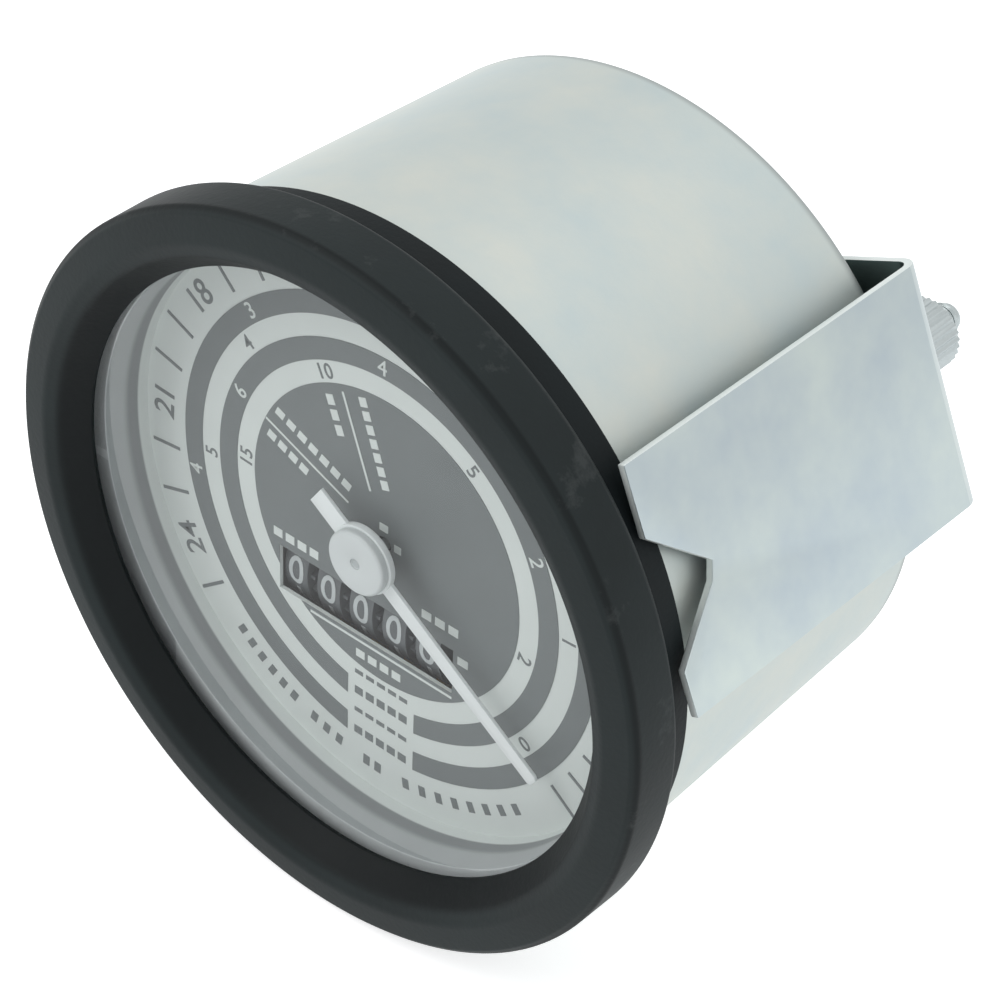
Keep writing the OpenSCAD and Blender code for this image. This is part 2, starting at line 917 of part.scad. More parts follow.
module mounting_bracket() {
    end_cut = 2;
    color([0.76, 0.80, 0.82])
        rotate([0, 0, bracket_angle])
            difference() {
                translate([0, bracket_w / 2, 0])
                    rotate([90, 0, 0])
                        linear_extrude(bracket_w)
                            difference() {
                                strap_outline(leg_out, -web_rear_z, bend_r);
                                strap_outline(leg_in, -web_front_z, bend_r - bracket_t);
                                translate([-leg_out - eps, -panel_t])
                                    square([2 * (leg_out + eps), panel_t + end_cut]);
                            }
                translate([-leg_out - eps, 0, 0])
                    rotate([90, 0, 90])
                        linear_extrude(2 * (leg_out + eps))
                            polygon([
                                [notch_foot, eps],
                                [notch_foot, 0],
                                [-2.8, 1 - notch_depth],
                                [-0.4, -notch_depth],
                                [notch_top, 0],
                                [notch_top, eps]]);
                translate([0, 0, web_rear_z - eps])
                    cylinder(h = bracket_t + 2 * eps, r = stem_hole_r);
                for (side = [-1, 1])
                    translate([side * stud_at, 0, web_rear_z - eps])
                        cylinder(h = bracket_t + 2 * eps, r = stud_r + 0.3);
            }
}

module bracket_studs() {
    collar_r = 4.5;
    color(steel)
        at_studs()
            rotate_extrude()
                polygon([
                    [0, stud_end_z],
                    [stud_r - 0.6, stud_end_z],
                    [stud_r, stud_end_z + 0.6],
                    [stud_r, rear_in_z],
                    [collar_r, rear_in_z],
                    [collar_r, plate_rear_z],
                    [stud_r, plate_rear_z],
                    [stud_r, plate_front_z],
                    [0, plate_front_z]]);
}

module bracket_nuts() {
    ridges = 30;
    color(steel)
        at_studs()
            translate([0, 0, web_rear_z - washer_t - nut_h])
                linear_extrude(nut_h)
                    difference() {
                        polygon([for (i = [0:2 * ridges - 1])
                            polar(nut_r - (i % 2) * 0.35, 180 * i / ridges)]);
                        circle(r = stud_r + 0.02);
                    }
}

module lock_washers() {
    color(steel)
        at_studs()
            translate([0, 0, web_rear_z - washer_t])
                difference() {
                    cylinder(h = washer_t, r = stud_r + 2.1);
                    translate([0, 0, -eps])
                        cylinder(h = washer_t + 2 * eps, r = stud_r + 0.3);
                    rotate([0, 0, 130])
                        translate([0, -0.4, -eps])
                            cube([8, 0.8, washer_t + 2 * eps]);
                }
}

module lamp_socket() {
    color(zinc)
        translate([lamp_at[0], lamp_at[1], -case_depth])
            difference() {
                rotate_extrude()
                    polygon([
                        [0, -socket_h],
                        [socket_in_r + 0.2, -socket_h],
                        [socket_in_r + 0.8, 0.6 - socket_h],
                        [socket_in_r + 0.8, -1.2],
                        [lamp_r + 1.5, -1.2],
                        [lamp_r + 1.5, 0],
                        [lamp_r, 0],
                        [lamp_r, socket_h],
                        [0, socket_h]]);
                translate([0, 0, -bulb_foot])
                    cylinder(h = socket_h + bulb_foot + eps, r = socket_in_r);
                translate([0, 0, -socket_h - eps])
                    cylinder(h = socket_h, r = contact_r + 0.05);
            }
}

module lamp_bulb() {
    color([0.95, 0.95, 0.85, 0.6])
        translate([lamp_at[0], lamp_at[1], -case_depth])
            union() {
                translate([0, 0, -bulb_foot])
                    cylinder(h = bulb_foot + bulb_glass_h, r = socket_in_r - 0.3);
                translate([0, 0, bulb_glass_h])
                    cylinder(h = 6, r = bulb_r);
                translate([0, 0, bulb_glass_h + 6])
                    sphere(r = bulb_r, $fn = 24);
            }
}

module lamp_contact() {
    tab_len = 7;
    tab_w = 4.8;
    tab_t = 0.8;
    color(brass)
        translate([lamp_at[0], lamp_at[1], -case_depth])
            union() {
                translate([0, 0, -socket_h - 0.2])
                    cylinder(h = socket_h + 0.2 - bulb_foot, r = contact_r);
                translate([-tab_t / 2, -tab_w / 2, -socket_h - tab_len])
                    cube([tab_t, tab_w, tab_len]);
            }
}

place() case();
place() bezel_ring();
place() mounting_gasket();
place() glass_gasket();
place() glass_lens();
place() dial_surround();
place() dial_plate();
place() dial_print();
place() pointer();
place() pointer_cap();
place() pointer_spindle();
place() drag_cup();
place() stop_collar();
place() hairspring_collet();
place() hairspring();
place() movement_plate();
place() frame_pillars();
place() spindle_bridge();
place() bridge_bush();
place() bridge_pins();
place() field_ring();
place() dial_posts();
place() input_shaft();
place() magnet();
place() drive_stem();
place() stem_nut();
place() cross_shaft();
place() cross_wheel();
place() counter_drive_shaft();
place() counter_drive_wheel();
place() counter_frame();
place() counter_screws();
place() drum_shaft();
place() pinion_shaft();
place() drum_wheel();
place() drum(0);  // number_drum_1
place() drum(1);  // number_drum_2
place() drum(2);  // number_drum_3
place() drum(3);  // number_drum_4
place() drum(4);  // number_drum_5
place() transfer_pinion(1);  // transfer_pinion_1
place() transfer_pinion(2);  // transfer_pinion_2
place() transfer_pinion(3);  // transfer_pinion_3
place() transfer_pinion(4);  // transfer_pinion_4
place() mounting_bracket();
place() bracket_studs();
place() bracket_nuts();
place() lock_washers();
place() lamp_socket();
place() lamp_bulb();
place() lamp_contact();
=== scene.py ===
import math

import bmesh
import bpy
from mathutils import Matrix, Vector


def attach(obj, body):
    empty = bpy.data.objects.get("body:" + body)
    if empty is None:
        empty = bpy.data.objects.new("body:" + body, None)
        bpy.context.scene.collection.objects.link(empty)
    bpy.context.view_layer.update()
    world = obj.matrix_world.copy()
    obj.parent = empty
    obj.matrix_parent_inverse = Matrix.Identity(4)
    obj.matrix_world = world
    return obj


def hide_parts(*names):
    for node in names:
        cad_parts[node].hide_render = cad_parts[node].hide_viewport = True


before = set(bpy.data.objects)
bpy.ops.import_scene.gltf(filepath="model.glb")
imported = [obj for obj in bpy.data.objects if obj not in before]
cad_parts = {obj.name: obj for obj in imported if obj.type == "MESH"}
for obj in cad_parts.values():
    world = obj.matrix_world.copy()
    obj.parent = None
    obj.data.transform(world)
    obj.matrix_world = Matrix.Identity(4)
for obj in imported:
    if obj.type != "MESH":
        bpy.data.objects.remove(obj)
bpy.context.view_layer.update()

# The view and the studio: a long lens from the right and above, a pale floor under the bezel's
# foot, and three broad soft lamps. The floor stays white away from the instrument's shadow.
camera_data = bpy.data.cameras.new("view_camera")
camera_data.sensor_width = 36
camera_data.lens = 124.84
camera_data.clip_end = 10
camera = bpy.data.objects.new("view_camera", camera_data)
camera.matrix_world = Matrix((
    (0.7497, -0.4349, 0.4988, 0.23158),
    (0.6608, 0.4513, -0.5997, -0.25044),
    (0.0357, 0.7792, 0.6257, 0.28462),
    (0, 0, 0, 1)))
bpy.context.collection.objects.link(camera)
bpy.context.scene.camera = camera
bpy.context.scene.view_settings.view_transform = "Standard"


def lamp(name, place, target, size, watts):
    data = bpy.data.lights.new(name, "AREA")
    data.size = size
    data.energy = watts
    holder = bpy.data.objects.new(name, data)
    holder.location = place
    holder.rotation_euler = (Vector(target) - Vector(place)).to_track_quat("-Z", "Y").to_euler()
    bpy.context.collection.objects.link(holder)


lamp("key_lamp", (-0.55, -0.75, 0.85), (0, 0, 0), 0.7, 5.2)
lamp("fill_lamp", (0.95, -0.55, 0.45), (0, 0, 0), 0.9, 1.6)
lamp("top_lamp", (0.15, 0.45, 1.1), (0, 0, 0), 1.2, 1.5)

world = bpy.data.worlds.new("studio")
bpy.context.scene.world = world
world.use_nodes = True
nodes, links = world.node_tree.nodes, world.node_tree.links
nodes.clear()
sky = nodes.new("ShaderNodeBackground")
sky.inputs["Color"].default_value = (0.86, 0.88, 0.9, 1)
sky.inputs["Strength"].default_value = 0.77
white = nodes.new("ShaderNodeBackground")
white.inputs["Color"].default_value = (1, 1, 1, 1)
path = nodes.new("ShaderNodeLightPath")
seen = nodes.new("ShaderNodeMath")
seen.operation = "MAXIMUM"
seen_or_mirrored = nodes.new("ShaderNodeMath")
seen_or_mirrored.operation = "MAXIMUM"
mix = nodes.new("ShaderNodeMixShader")
out = nodes.new("ShaderNodeOutputWorld")
links.new(path.outputs["Is Camera Ray"], seen.inputs[0])
links.new(path.outputs["Is Transmission Ray"], seen.inputs[1])
links.new(seen.outputs[0], seen_or_mirrored.inputs[0])
links.new(path.outputs["Is Glossy Ray"], seen_or_mirrored.inputs[1])
links.new(seen_or_mirrored.outputs[0], mix.inputs[0])
links.new(sky.outputs[0], mix.inputs[1])
links.new(white.outputs[0], mix.inputs[2])
links.new(mix.outputs[0], out.inputs["Surface"])

floor_mesh = bpy.data.meshes.new("floor")
floor_mesh.from_pydata([(-3, -3, -0.0537), (3, -3, -0.0537), (3, 3, -0.0537), (-3, 3, -0.0537)],
                       [], [(0, 1, 2, 3)])
floor = bpy.data.objects.new("floor", floor_mesh)
bpy.context.collection.objects.link(floor)
floor_material = bpy.data.materials.new("floor_white")
floor_material.use_nodes = True
nodes, links = floor_material.node_tree.nodes, floor_material.node_tree.links
nodes.clear()
paint = nodes.new("ShaderNodeBsdfDiffuse")
paint.inputs["Color"].default_value = (0.82, 0.82, 0.82, 1)
glow = nodes.new("ShaderNodeEmission")
glow.inputs["Color"].default_value = (1, 1, 1, 1)
path = nodes.new("ShaderNodeLightPath")
seen = nodes.new("ShaderNodeMath")
seen.operation = "MAXIMUM"
lift = nodes.new("ShaderNodeMath")
lift.operation = "MULTIPLY"
lift.inputs[1].default_value = 0.6
both = nodes.new("ShaderNodeAddShader")
out = nodes.new("ShaderNodeOutputMaterial")
links.new(path.outputs["Is Camera Ray"], seen.inputs[0])
links.new(path.outputs["Is Glossy Ray"], seen.inputs[1])
links.new(seen.outputs[0], lift.inputs[0])
links.new(lift.outputs[0], glow.inputs["Strength"])
links.new(paint.outputs[0], both.inputs[0])
links.new(glow.outputs[0], both.inputs[1])
links.new(both.outputs[0], out.inputs["Surface"])
floor_mesh.materials.append(floor_material)


# The can: drawn sheet steel, bright zinc plated, drawn slightly narrower to the rear, with a
# flange at its mouth that the bezel is spun over. Its plating is satin with soft clouds, with a
# band of painted shade round the rear rim. Its rear wall has holes for the stem, the lamp's socket
# and the two studs.
mm = 0.001


def finish(name, colour, metallic=0.0, rough=0.4, tint=0.06, scale=60, bump=0.02, bump_scale=400,
           specular=0.5, stretch=(1, 1, 1), spread=0.08, other=None):
    """A surface with cloudy colour, uneven gloss and fine relief, all from object coordinates."""
    material = bpy.data.materials.new(name)
    material.use_nodes = True
    n, l = material.node_tree.nodes, material.node_tree.links
    n.clear()
    place = n.new("ShaderNodeTexCoord")
    turn = n.new("ShaderNodeMapping")
    turn.inputs["Scale"].default_value = stretch
    cloud = n.new("ShaderNodeTexNoise")
    cloud.inputs["Scale"].default_value = scale
    cloud.inputs["Detail"].default_value = 4
    cloud.inputs["Roughness"].default_value = 0.6
    ramp = n.new("ShaderNodeValToRGB")
    low, high = ramp.color_ramp.elements
    low.position, high.position = 0.3, 0.7
    low.color = tuple(c * (1 - tint) for c in colour) + (1,)
    high.color = tuple(min(1, c * (1 + tint)) for c in other or colour) + (1,)
    gloss = n.new("ShaderNodeMapRange")
    gloss.inputs["To Min"].default_value = max(0.02, rough - spread)
    gloss.inputs["To Max"].default_value = rough + spread
    grain = n.new("ShaderNodeTexNoise")
    grain.inputs["Scale"].default_value = bump_scale
    grain.inputs["Detail"].default_value = 2
    relief = n.new("ShaderNodeBump")
    relief.inputs["Strength"].default_value = bump
    relief.inputs["Distance"].default_value = 0.5 * mm
    shader = n.new("ShaderNodeBsdfPrincipled")
    shader.inputs["Metallic"].default_value = metallic
    shader.inputs["Specular IOR Level"].default_value = specular
    output = n.new("ShaderNodeOutputMaterial")
    l.new(place.outputs["Object"], turn.inputs["Vector"])
    l.new(turn.outputs["Vector"], cloud.inputs["Vector"])
    l.new(turn.outputs["Vector"], grain.inputs["Vector"])
    l.new(cloud.outputs["Fac"], ramp.inputs["Fac"])
    l.new(cloud.outputs["Fac"], gloss.inputs["Value"])
    l.new(ramp.outputs["Color"], shader.inputs["Base Color"])
    l.new(gloss.outputs["Result"], shader.inputs["Roughness"])
    l.new(grain.outputs["Fac"], relief.inputs["Height"])
    l.new(relief.outputs["Normal"], shader.inputs["Normal"])
    l.new(shader.outputs[0], output.inputs["Surface"])
    return material


def filleted(points, radii, steps=5):
    """Rounds the corners of a closed outline: one radius for each of its points."""
    longest = 0.49  # of a side, so that the roundings at its two ends never meet
    rounded = []
    count = len(points)
    for i, (point, radius) in enumerate(zip(points, radii)):
        here = Vector(point)
        if radius <= 0:
            rounded.append(tuple(here))
            continue
        back = Vector(points[i - 1]) - here
        ahead = Vector(points[(i + 1) % count]) - here
        half = back.angle(ahead) / 2
        reach = min(radius / math.tan(half), back.length * longest, ahead.length * longest)
        start, end = here + back.normalized() * reach, here + ahead.normalized() * reach
        for k in range(steps + 1):
            t = k / steps
            rounded.append(tuple(start * (1 - t) ** 2 + here * 2 * t * (1 - t) + end * t * t))
    return rounded


def turned(name, outline, steps=256):
    """Revolves a closed outline of (radius, place along Y), in mm, about the instrument's axis."""
    on_axis = 1e-6
    shape = bmesh.new()
    rings = []
    for radius, along in outline:
        if radius < on_axis:
            rings.append([shape.verts.new((0, along * mm, 0))])
        else:
            rings.append([shape.verts.new((radius * mm * math.cos(a), along * mm,
                                           radius * mm * math.sin(a)))
                          for a in (2 * math.pi * k / steps for k in range(steps))])
    for i, ring in enumerate(rings):
        other = rings[(i + 1) % len(rings)]
        if len(ring) == 1 and len(other) == 1:
            continue
        for k in range(steps):
            m = (k + 1) % steps
            if len(ring) == 1:
                shape.faces.new((ring[0], other[m], other[k]))
            elif len(other) == 1:
                shape.faces.new((ring[k], ring[m], other[0]))
            else:
                shape.faces.new((ring[k], ring[m], other[m], other[k]))
    bmesh.ops.recalc_face_normals(shape, faces=shape.faces)
    return piece_from(name, shape)


def piece_from(name, shape, sharp=35):
    """An object from a built shape, smooth apart from edges sharper than an angle in degrees."""
    mesh = bpy.data.meshes.new(name)
    shape.to_mesh(mesh)
    shape.free()
    mesh.shade_smooth()
    mesh.set_sharp_from_angle(angle=math.radians(sharp))
    piece = bpy.data.objects.new(name, mesh)
    bpy.context.collection.objects.link(piece)
    return piece


def dress(piece, material, body=None, replaced=()):
    """Gives a piece its finish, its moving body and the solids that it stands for."""
    piece.data.materials.clear()
    piece.data.materials.append(material)
    if body:
        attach(piece, body)
    if replaced:
        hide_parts(*replaced)
    return piece


def eased(name, node, width=0.12, sharp=28):
    """A copy of a solid's mesh, merged, with its edges broken by a small bevel, in mm."""
    same_place, flat_enough = 1e-6, math.radians(0.5)
    shape = bmesh.new()
    shape.from_mesh(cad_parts[node].data)
    bmesh.ops.remove_doubles(shape, verts=shape.verts, dist=same_place)
    bmesh.ops.dissolve_limit(shape, angle_limit=flat_enough, verts=shape.verts,
                             edges=shape.edges)
    edges = [e for e in shape.edges
             if len(e.link_faces) == 2 and e.calc_face_angle(0) > math.radians(sharp)]
    bmesh.ops.bevel(shape, geom=edges, offset=width * mm, segments=2, profile=0.5,
                    affect="EDGES", clamp_overlap=True)
    bmesh.ops.triangulate(shape, faces=[f for f in shape.faces if len(f.verts) > 4])
    return piece_from(name, shape, sharp)


def drilled(piece, holes):
    """Cuts round holes along Y, in mm: x, z, radius, from, to."""
    drills = bmesh.new()
    for x, z, radius, front, rear in holes:
        bmesh.ops.create_cone(drills, cap_ends=True, segments=96, radius1=radius * mm,
                              radius2=radius * mm, depth=(rear - front) * mm,
                              matrix=Matrix.Translation((x * mm, (front + rear) / 2 * mm, z * mm))
                              @ Matrix.Rotation(math.radians(90), 4, "X"))
    cutter = piece_from("drills", drills)
    cut = piece.modifiers.new("holes", "BOOLEAN")
    cut.operation = "DIFFERENCE"
    cut.object = cutter
    bpy.context.view_layer.update()
    mesh = bpy.data.meshes.new_from_object(piece.evaluated_get(
        bpy.context.evaluated_depsgraph_get()))
    piece.modifiers.clear()
    piece.data = mesh
    mesh.set_sharp_from_angle(angle=math.radians(35))
    bpy.data.objects.remove(cutter)
    return piece


def reach_from(material, axes, centre=(0, 0, 0)):
    """The distance from a centre, in mm, over the given axes, as a node's output in metres."""
    n, l = material.node_tree.nodes, material.node_tree.links
    place = n.new("ShaderNodeTexCoord")
    flat = n.new("ShaderNodeMapping")
    flat.inputs["Scale"].default_value = axes
    flat.inputs["Location"].default_value = tuple(-a * c * mm for a, c in zip(axes, centre))
    reach = n.new("ShaderNodeVectorMath")
    reach.operation = "LENGTH"
    l.new(place.outputs["Object"], flat.inputs["Vector"])
    l.new(flat.outputs["Vector"], reach.inputs[0])
    return reach.outputs["Value"]


def lay_over(material, colour, share):
    """Mixes another colour over a finish, as far as a node's output says."""
    n, l = material.node_tree.nodes, material.node_tree.links
    coat = n.new("ShaderNodeMix")
    coat.data_type = "RGBA"
    coat.inputs["B"].default_value = colour + (1,)
    shader = n["Principled BSDF"]
    l.new(share, coat.inputs["Factor"])
    l.new(shader.inputs["Base Color"].links[0].from_socket, coat.inputs["A"])
    l.new(coat.outputs["Result"], shader.inputs["Base Color"])
    return material


def second_coat(material, colour, axes, start, end, centre=(0, 0, 0)):
    """Blends another colour in by the distance from a centre over the given axes, in mm."""
    n, l = material.node_tree.nodes, material.node_tree.links
    zone = n.new("ShaderNodeMapRange")
    zone.interpolation_type = "SMOOTHSTEP"
    zone.inputs["From Min"].default_value = start * mm
    zone.inputs["From Max"].default_value = end * mm
    l.new(reach_from(material, axes, centre), zone.inputs["Value"])
    return lay_over(material, colour, zone.outputs["Result"])


leg_angle = math.radians(24.2)
stud_reach = 37.55
stud_places = [(side * stud_reach * math.cos(leg_angle), side * stud_reach * math.sin(leg_angle))
               for side in (-1, 1)]
plating = dict(colour=(0.52, 0.589, 0.59), other=(0.578, 0.607, 0.572), metallic=1.0, rough=0.56,
               tint=0.02, scale=68, bump=0.04, bump_scale=900, spread=0.04)
zinc = finish("zinc_can", **plating)
# The second coat is painted shade: a darker band round the can's rear rim.
can_zinc = second_coat(finish("zinc_drawn", **plating), (0.36, 0.39, 0.385), (1, 1, 1), 58.5, 59.3,
                       centre=(0, 20, 0))
can_outline = filleted(
    [(0, 56.4), (47.15, 56.4), (49.4, -0.9), (52.2, -0.9), (52.2, -1.7), (48.5, -1.7),
     (46.25, 55.5), (0, 55.5)],
    [0, 1.1, 0.4, 0, 0, 0.4, 0.8, 0])
rear_holes = [(0, 0, 8.09), (-13.524, 29.002, 7.6)] + [(x, z, 2.6) for x, z in stud_places]
can = drilled(turned("zinc_can", can_outline), [hole + (54, 58) for hole in rear_holes])
dress(can, can_zinc, "housing", ["case"])

# The bezel: spun from one sheet, crest, bevel and side wall, its rear edge rolled over the can's
# flange. Painted semi-gloss black, with faint rubbed places along the side wall; the darker
# bevel's foot is painted shade, and so is the dark line along the face's outer corner.
def rubbed(material, colour, share, radius):
    """Pale rubbed specks outside a radius, in mm, round the instrument's axis."""
    fade = 0.5
    faintest, fullest = 0.57, 0.7  # levels of the noise between which a speck comes up
    n, l = material.node_tree.nodes, material.node_tree.links
    place = n.new("ShaderNodeTexCoord")
    speck = n.new("ShaderNodeTexNoise")
    speck.inputs["Scale"].default_value = 150
    speck.inputs["Detail"].default_value = 5
    speck.inputs["Roughness"].default_value = 0.7
    spots = n.new("ShaderNodeMapRange")
    spots.inputs["From Min"].default_value = faintest
    spots.inputs["From Max"].default_value = fullest
    spots.inputs["To Max"].default_value = share
    rim = n.new("ShaderNodeMapRange")
    rim.inputs["From Min"].default_value = (radius - fade) * mm
    rim.inputs["From Max"].default_value = radius * mm
    both = n.new("ShaderNodeMath")
    both.operation = "MULTIPLY"
    l.new(place.outputs["Object"], speck.inputs["Vector"])
    l.new(speck.outputs["Fac"], spots.inputs["Value"])
    l.new(reach_from(material, (1, 0, 1)), rim.inputs["Value"])
    l.new(spots.outputs["Result"], both.inputs[0])
    l.new(rim.outputs["Result"], both.inputs[1])
    return lay_over(material, colour, both.outputs[0])


bezel_paint = finish("bezel_black", (0.0148, 0.0202, 0.0208), rough=0.55, tint=0.2, scale=45,
                     bump=0.08, bump_scale=1200, specular=0.16, spread=0.07)
# Painted shade: darker in the bevel's foot, inside 46 to 47.4 mm of the axis.
second_coat(bezel_paint, (0.003, 0.005, 0.0055), (1, 0, 1), 47.4, 46.0)
# Painted shade: a dark line along the outer corner between the face and the side wall.
second_coat(bezel_paint, (0.006, 0.009, 0.0095), (1, 1, 1), 59.95, 60.2, centre=(0, 20, 0))
rubbed(bezel_paint, (0.05, 0.056, 0.056), 0.65, 53.2)
bezel = turned("bezel_ring", filleted(
    [(43.8, -4.6), (43.8, -5.0), (46.6, -8.6), (48.5, -9.4), (52.5, -8.8), (53.4, -8.0),
     (53.4, -1.2), (52.2, 0), (50.3, 0), (50.3, -0.9), (52.5, -0.9), (52.5, -7.8), (48.6, -8.5),
     (47.3, -7.9), (45.2, -4.6)],
    [0.1, 0.3, 1.5, 2.0, 0.8, 0.7, 0.9, 0.5, 0.1, 0.1, 0.3, 0.5, 0.8, 0.5, 0.1]))
dress(bezel, bezel_paint, "housing", ["bezel_ring"])

# The rubber band behind the bezel, pushed over the can: it centres the can in the panel's hole. The
# thin gasket between the bezel's lip and the glass is cut from the same matt black rubber.
rubber = finish("rubber_black", (0.007, 0.0105, 0.0115), rough=0.62, tint=0.2, scale=90, bump=0.1,
                bump_scale=1600, specular=0.16)
band = turned("mounting_gasket", filleted(
    [(49.44, -0.9), (50.1, -0.9), (50.1, 5.3), (49.2, 5.3)], [0, 0, 0.3, 0.1]))
dress(band, rubber, "housing", ["mounting_gasket"])
dress(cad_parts["glass_gasket"], rubber)

# The glass: a flat disc cut from clear sheet, its edge ground, held between the gasket and the
# surround. Only its front face mirrors, with a faint sheen.
glass = bpy.data.materials.new("clear_glass")
glass.use_nodes = True
nodes, links = glass.node_tree.nodes, glass.node_tree.links
nodes.clear()
clear = nodes.new("ShaderNodeBsdfTransparent")
clear.inputs["Color"].default_value = (0.985, 0.99, 0.988, 1)
shine = nodes.new("ShaderNodeBsdfGlossy")
shine.inputs["Roughness"].default_value = 0.03
edge = nodes.new("ShaderNodeFresnel")
edge.inputs["IOR"].default_value = 1.4
face = nodes.new("ShaderNodeNewGeometry")
front = nodes.new("ShaderNodeMath")
front.operation = "SUBTRACT"
front.inputs[0].default_value = 1
front_edge = nodes.new("ShaderNodeMath")
front_edge.operation = "MULTIPLY"
haze = nodes.new("ShaderNodeMixShader")
out = nodes.new("ShaderNodeOutputMaterial")
links.new(face.outputs["Backfacing"], front.inputs[1])
links.new(edge.outputs[0], front_edge.inputs[0])
links.new(front.outputs[0], front_edge.inputs[1])
links.new(front_edge.outputs[0], haze.inputs[0])
links.new(clear.outputs[0], haze.inputs[1])
links.new(shine.outputs[0], haze.inputs[2])
links.new(haze.outputs[0], out.inputs["Surface"])
lens = turned("glass_lens", filleted(
    [(0, -2.3), (51.8, -2.3), (51.8, -4.2), (0, -4.2)], [0, 0.3, 0.3, 0]))
dress(lens, glass, "housing", ["glass_lens"])

# The surround: a pressed ring that lines the space between glass and dial and holds the dial down.
# Painted grey, pale at its foot. Its front flange is painted light where the bezel's lip shades it,
# and the darker band in the depth between is painted shade.
surround_paint = finish("surround_grey", (0.38, 0.40, 0.405), rough=0.5, tint=0.05, scale=50,
                        bump=0.03, bump_scale=1500, specular=0.3)
# By depth from the glass: painted light on the front flange, painted shade in the depth, pale paint
# at the foot.
for colour, start, end in (((0.70, 0.73, 0.735), 0.78, 0.71), ((0.20, 0.215, 0.22), 3.4, 4.8),
                           ((0.60, 0.635, 0.62), 6.0, 6.4)):
    second_coat(surround_paint, colour, (0, 1, 0), start, end, centre=(0, -3, 0))
surround = turned("dial_surround", filleted(
    [(43.5, 5), (44.2, 5), (44.6, -1.7), (52.2, -1.7), (52.2, -2.3), (44.0, -2.3), (43.6, 0.6)],
    [0, 0, 0.3, 0, 0, 0.25, 0.5]))
dress(surround, surround_paint, "housing", ["dial_surround"])

# The dial: thin sheet, matte light grey, with its dark speed bands, centre and scale marks
# printed in grey ink, and a window punched for the counter.
dial_light = finish("dial_light", (0.66, 0.70, 0.68), rough=0.55, tint=0.03, scale=80, bump=0.02,
                    bump_scale=2500, spread=0.02)
dial_dark = finish("dial_dark", (0.148, 0.165, 0.168), rough=0.6, tint=0.04, scale=120, bump=0.008,
                   bump_scale=2500, spread=0.02)
dress(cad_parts["dial_plate"], dial_light)
dress(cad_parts["dial_print"], dial_dark)


def numerals(name, entries, depth, thickness=0.05):
    """Printed figures as one mesh. Each entry: text, x, z, turn in degrees, height, in mm."""
    letter_height, boldness = 0.7, 0.012  # both as shares: of the type's size, of the height
    shape = bmesh.new()
    for text, x, z, turn, height in entries:
        curve = bpy.data.curves.new(name + "_text", "FONT")
        curve.body = text
        curve.align_x = "CENTER"
        curve.align_y = "CENTER"
        curve.size = height / letter_height
        curve.extrude = thickness / 2
        curve.offset = height * boldness
        curve.resolution_u = 4
        holder = bpy.data.objects.new(name + "_text", curve)
        bpy.context.collection.objects.link(holder)
        bpy.context.view_layer.update()
        flat = bpy.data.meshes.new_from_object(holder.evaluated_get(
            bpy.context.evaluated_depsgraph_get()))
        flat.transform(Matrix.Translation((x, depth - thickness / 2, z))
                       @ Matrix.Rotation(math.radians(-turn), 4, "Y")
                       @ Matrix.Rotation(math.radians(90), 4, "X"))
        flat.transform(Matrix.Scale(mm, 4))
        shape.from_mesh(flat)
        bpy.data.objects.remove(holder)
        bpy.data.curves.remove(curve)
        bpy.data.meshes.remove(flat)
    bmesh.ops.remove_doubles(shape, verts=shape.verts, dist=1e-7)
    return piece_from(name, shape)


def ring_entry(text, angle, radius, height):
    """A figure on a ring, its foot towards the axis; angles in degrees from 3 o'clock."""
    a = math.radians(angle)
    return (text, radius * math.cos(a), radius * math.sin(a), angle - 90, height)


scale_first, scale_step = -11.5, 10.45
dark_figures = [ring_entry(str(v), scale_first + scale_step * (v - 3), 40.0, 3.7)
                for v in range(3, 25, 3)]
dark_figures += [ring_entry(t, a, 31.25, 2.2) for t, a in
                 [("4", 140.6), ("5", 183), ("1", 3.9), ("0", -37)]]
dark_figures += [ring_entry(t, a, 24.7, 2.2) for t, a in
                 [("10", 115.5), ("15", 177.7), ("5", 53.9), ("2", -11.4)]]
dial_face, dark_face = 5.0, 4.92
dress(numerals("dial_figures_dark", dark_figures, dial_face), dial_dark, "housing")
light_figures = [ring_entry(t, a, 34.6, 2.3) for t, a in [("3", 133), ("4", 190)]]
light_figures += [ring_entry(t, a, 28.0, 2.3) for t, a in [("6", 156), ("4", 91.4), ("2", 24.7)]]
dress(numerals("dial_figures_light", light_figures, dark_face), dial_light, "housing")


# The legends' places hold plain dashes and bars, printed in rows: dark ones on the light ground
# and round the foot of the scale, light ones on the dark centre, and a line under the window.
def add(tree, kind, inputs=None, **settings):
    """A node of a tree; each input takes a value or another node's output."""
    node = tree.nodes.new(kind)
    for name, value in settings.items():
        setattr(node, name, value)
    for socket, value in (inputs or {}).items():
        if isinstance(value, bpy.types.NodeSocket):
            tree.links.new(value, node.inputs[socket])
        else:
            node.inputs[socket].default_value = value
    return node


def sprout(name, sizes):
    """A geometry tree with named inputs, and the outputs that carry them."""
    tree = bpy.data.node_groups.new(name, "GeometryNodeTree")
    tree.interface.new_socket("Geometry", in_out="OUTPUT", socket_type="NodeSocketGeometry")
    for size, kind in sizes:
        tree.interface.new_socket(size, in_out="INPUT", socket_type="NodeSocket" + kind)
    return tree, tree.nodes.new("NodeGroupInput").outputs


def finished(tree, shape, given, turn):
    """Ends a tree: the shape is turned, put in its place, made real and given its finish."""
    moved = add(tree, "GeometryNodeTransform", {"Geometry": shape, "Translation": given["Place"],
                                                "Rotation": turn})
    real = add(tree, "GeometryNodeRealizeInstances", {"Geometry": moved.outputs[0]})
    painted = add(tree, "GeometryNodeSetMaterial", {"Geometry": real.outputs[0],
                                                    "Material": given["Finish"]})
    tree.links.new(painted.outputs[0], tree.nodes.new("NodeGroupOutput").inputs[0])


